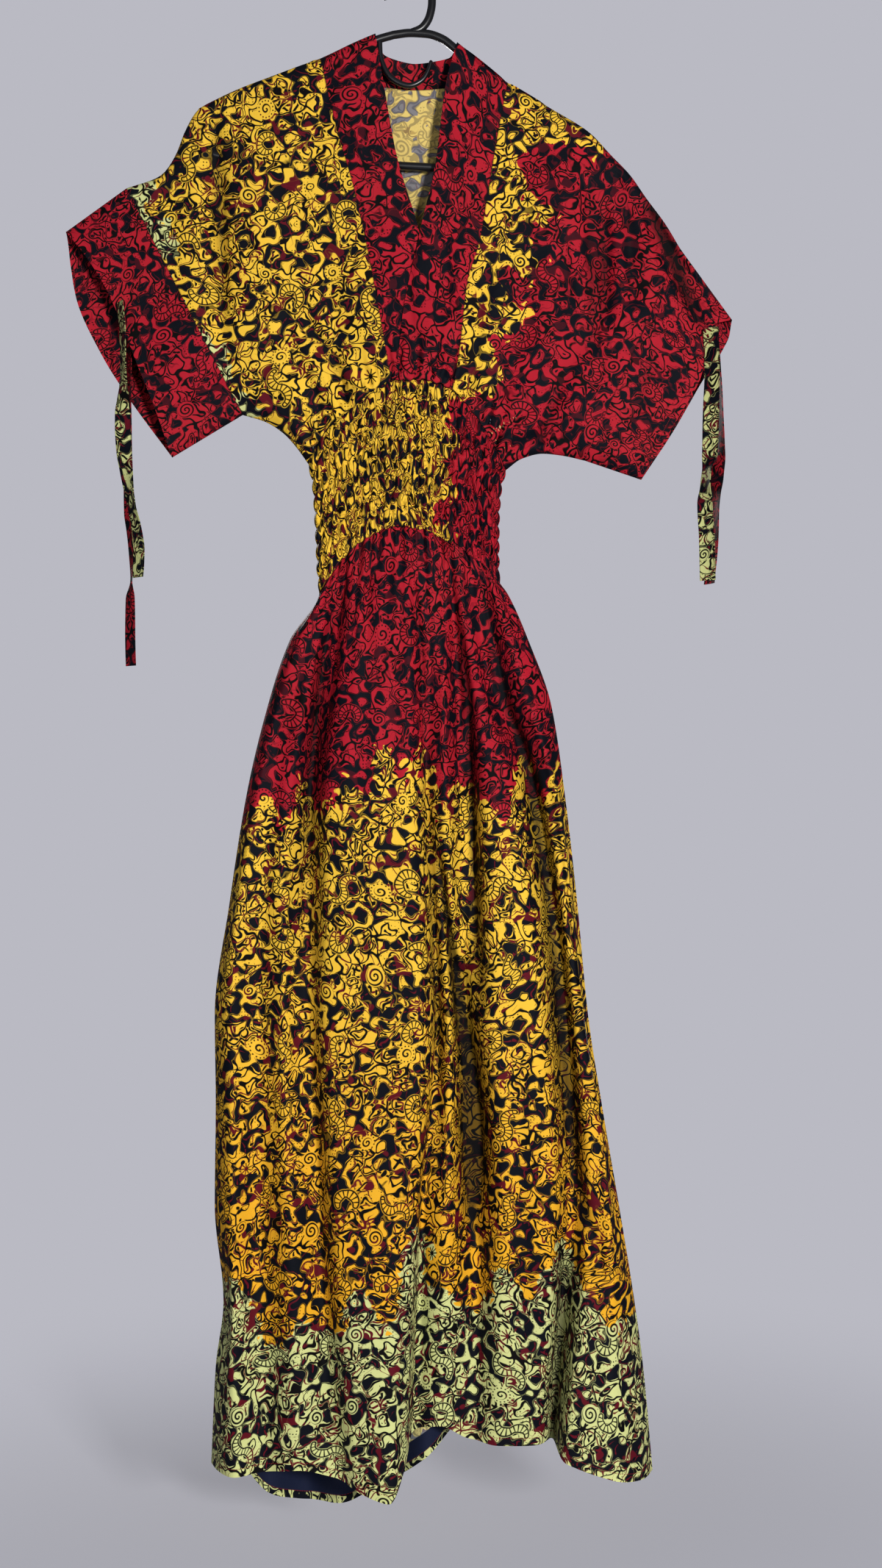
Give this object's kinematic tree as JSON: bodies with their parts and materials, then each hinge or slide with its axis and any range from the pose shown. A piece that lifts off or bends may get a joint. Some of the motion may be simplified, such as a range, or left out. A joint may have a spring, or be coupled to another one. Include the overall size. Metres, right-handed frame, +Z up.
{
  "type": "wax print maxi dress on a hanger",
  "caption": "Long kimono-sleeved wax print cotton dress with a crossed V neckband, shirred waist, sleeve ties and a gathered skirt, hanging from a black tubular plastic hanger.",
  "frame": {"origin": "underside of the top of the hanger's hook arc, where a rail carries it", "axes": "+Z up, +X to the right of someone who faces the front of the dress, -Y out of the front"},
  "size_m": [0.689, 0.1213, 1.6131],
  "materials": {
    "red_print_cotton": "crisp woven cotton, red ground with a dense navy-black print",
    "yellow_print_cotton": "crisp woven cotton, yellow ground with a dense navy-black print, lime towards the hem",
    "lime_print_cotton": "crisp woven cotton, pale lime ground with a dense navy-black print",
    "black_plastic": "smooth black moulding"
  },
  "bodies": {
    "root": {"hanger": "black_plastic", "bodice_front_left": "yellow_print_cotton", "bodice_front_right": "red_print_cotton", "bodice_back": "yellow_print_cotton", "sleeve_back_left": "yellow_print_cotton", "sleeve_back_right": "yellow_print_cotton", "cuff_left": "red_print_cotton", "cuff_right": "red_print_cotton", "neckband_left": "red_print_cotton", "neckband_right": "red_print_cotton", "neckband_back": "red_print_cotton", "waist_front": "yellow_print_cotton", "waist_back": "yellow_print_cotton", "skirt_front": "yellow_print_cotton", "skirt_back": "yellow_print_cotton", "tie_left_front": "lime_print_cotton", "tie_left_back": "red_print_cotton", "tie_right_front": "lime_print_cotton", "tie_right_back": "red_print_cotton"}
  },
  "joints": []
}
